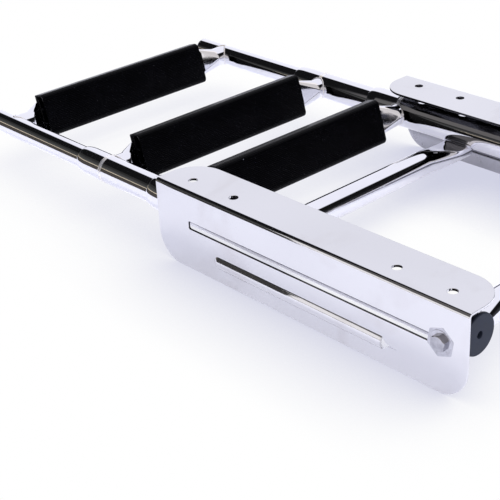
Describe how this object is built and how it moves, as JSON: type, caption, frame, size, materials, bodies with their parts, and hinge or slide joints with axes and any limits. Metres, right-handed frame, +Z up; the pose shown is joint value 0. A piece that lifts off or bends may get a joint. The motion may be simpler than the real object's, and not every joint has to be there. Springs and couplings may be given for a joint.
{
  "type": "slide-out telescoping boarding ladder",
  "caption": "Boarding ladder that stows flat under a swim platform: it slides out on slotted track brackets, folds down and telescopes, with ribbed treads on pressed step tubes.",
  "frame": {"origin": "centre of the rectangle of outer mounting holes, on the top face of the two track flanges", "axes": "+X inboard along the tracks, the ladder slides out towards -X; +Y across the ladder, towards its right-hand stile as seen facing outboard; +Z up, out of the flange tops against the platform"},
  "size_m": [0.755, 0.4026, 0.088],
  "materials": {
    "bracket_sheet": "satin stainless sheet with faint handling smudges",
    "polished_tube": "mirror-polished stainless tube",
    "polished_fitting": "mirror-polished stainless",
    "fastener": "plain stainless fastener",
    "tread_black": "near-black ribbed extrusion, satin",
    "rubber_plug": "dark blue-grey rubber, matt",
    "nylon": "natural white nylon"
  },
  "bodies": {
    "tracks": {"bracket_left": "bracket_sheet", "bracket_right": "bracket_sheet"},
    "carriage": {"pivot_bolts": "fastener", "hex_plates": "fastener", "bolt_washers": "fastener", "spacer_bushes": "nylon"},
    "upper_section": {"outer_tube_left": "polished_tube", "outer_tube_right": "polished_tube", "outer_collars": "polished_fitting", "end_plugs": "rubber_plug", "front_crossbar": "polished_tube", "rear_crossbar": "polished_tube", "upper_rung": "polished_tube", "upper_tread": "tread_black", "upper_tread_rivets": "fastener", "pivot_inserts": "fastener", "outer_guide_rings": "nylon"},
    "middle_section": {"middle_tube_left": "polished_tube", "middle_tube_right": "polished_tube", "middle_collars": "polished_fitting", "middle_guide_rings": "nylon", "middle_slide_bushings": "nylon", "middle_rung": "polished_tube", "middle_tread": "tread_black", "middle_tread_rivets": "fastener"},
    "lower_section": {"lower_tube_left": "polished_tube", "lower_tube_right": "polished_tube", "foot_caps": "polished_fitting", "lower_slide_bushings": "nylon", "lower_rung": "polished_tube", "lower_tread": "tread_black", "lower_tread_rivets": "fastener"}
  },
  "joints": [
    {"name": "track_slide", "type": "slide", "parent": "tracks", "child": "carriage", "axis": [-1, 0, 0], "range_m": [0, 0.318]},
    {"name": "fold_hinge", "type": "hinge", "parent": "carriage", "child": "upper_section", "pos_m": [0.1713, 0, -0.0378], "axis": [0, -1, 0], "range_deg": [0, 90]},
    {"name": "middle_slide", "type": "slide", "parent": "upper_section", "child": "middle_section", "axis": [-1, 0, 0], "range_m": [-0.064, 0.12]},
    {"name": "lower_slide", "type": "slide", "parent": "middle_section", "child": "lower_section", "axis": [-1, 0, 0], "range_m": [-0.124, 0.063]}
  ]
}
